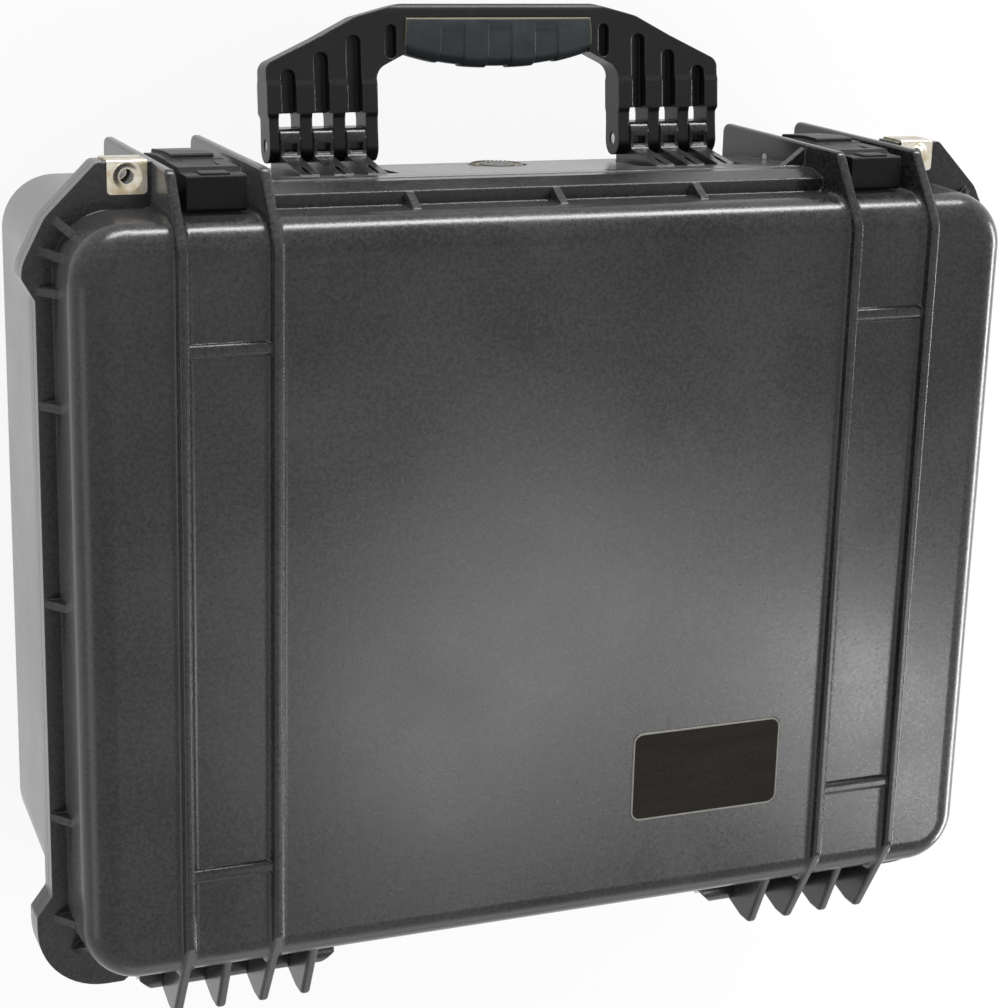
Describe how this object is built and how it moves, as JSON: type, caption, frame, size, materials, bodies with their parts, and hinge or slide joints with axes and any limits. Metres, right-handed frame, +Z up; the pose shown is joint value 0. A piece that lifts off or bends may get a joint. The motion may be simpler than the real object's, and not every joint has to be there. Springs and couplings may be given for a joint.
{
  "type": "protective case",
  "caption": "Ribbed moulded equipment case: hinged lid, thumb-lever latches between guard fins, folding handle with rubber grip, padlock clips and pressure valve.",
  "frame": {"origin": "middle of the base, on the plane that the foot ribs rest on", "axes": "+X towards the right end as seen from the latches, +Y from the latches to the hinge, +Z up"},
  "size_m": [0.5262, 0.4958, 0.2135],
  "materials": {
    "shell_plastic": "satin moulded resin with fine grain",
    "latch_plastic": "satin moulded nylon",
    "handle_plastic": "satin moulded nylon",
    "grip_rubber": "matt overmoulded rubber",
    "seal_rubber": "matt rubber",
    "clip_steel": "pressed bright stainless",
    "stainless": "drawn stainless rod",
    "plate_film": "satin plate",
    "valve_plastic": "satin moulded nylon",
    "membrane": "white microporous sheet"
  },
  "bodies": {
    "base": {"base_shell": "shell_plastic", "valve_body": "valve_plastic", "valve_cap": "valve_plastic", "valve_membrane": "membrane", "valve_seal": "seal_rubber", "valve_nut": "valve_plastic", "hinge_pin_right": "stainless", "latch_pin_right": "stainless", "handle_pin_right": "stainless", "padlock_clip_base_right": "clip_steel", "hinge_pin_left": "stainless", "latch_pin_left": "stainless", "handle_pin_left": "stainless", "padlock_clip_base_left": "clip_steel"},
    "lid": {"lid_shell": "shell_plastic", "lid_seal": "seal_rubber", "name_plate": "plate_film", "padlock_clip_lid_right": "clip_steel", "padlock_clip_lid_left": "clip_steel"},
    "handle": {"handle_frame": "handle_plastic", "handle_grip": "grip_rubber"},
    "latch_hook_right": {"latch_hook_right": "latch_plastic", "lever_pin_right": "stainless"},
    "latch_lever_right": {"latch_lever_right": "latch_plastic"},
    "latch_hook_left": {"latch_hook_left": "latch_plastic", "lever_pin_left": "stainless"},
    "latch_lever_left": {"latch_lever_left": "latch_plastic"}
  },
  "joints": [
    {"name": "lid_hinge", "type": "hinge", "parent": "base", "child": "lid", "pos_m": [0, 0.20708, 0.1568], "axis": [-1, 0, 0], "range_deg": [0, 105]},
    {"name": "handle_fold", "type": "hinge", "parent": "base", "child": "handle", "pos_m": [0, -0.20728, 0.0947], "axis": [1, 0, 0], "range_deg": [-6, 84]},
    {"name": "latch_right", "type": "hinge", "parent": "base", "child": "latch_hook_right", "pos_m": [0.17458, -0.19708, 0.1123], "axis": [1, 0, 0], "range_deg": [0, 90]},
    {"name": "lever_right", "type": "hinge", "parent": "latch_hook_right", "child": "latch_lever_right", "pos_m": [0.17458, -0.20428, 0.1618], "axis": [-1, 0, 0], "range_deg": [0, 50]},
    {"name": "latch_left", "type": "hinge", "parent": "base", "child": "latch_hook_left", "pos_m": [-0.17458, -0.19708, 0.1123], "axis": [1, 0, 0], "range_deg": [0, 90]},
    {"name": "lever_left", "type": "hinge", "parent": "latch_hook_left", "child": "latch_lever_left", "pos_m": [-0.17458, -0.20428, 0.1618], "axis": [-1, 0, 0], "range_deg": [0, 50]}
  ]
}
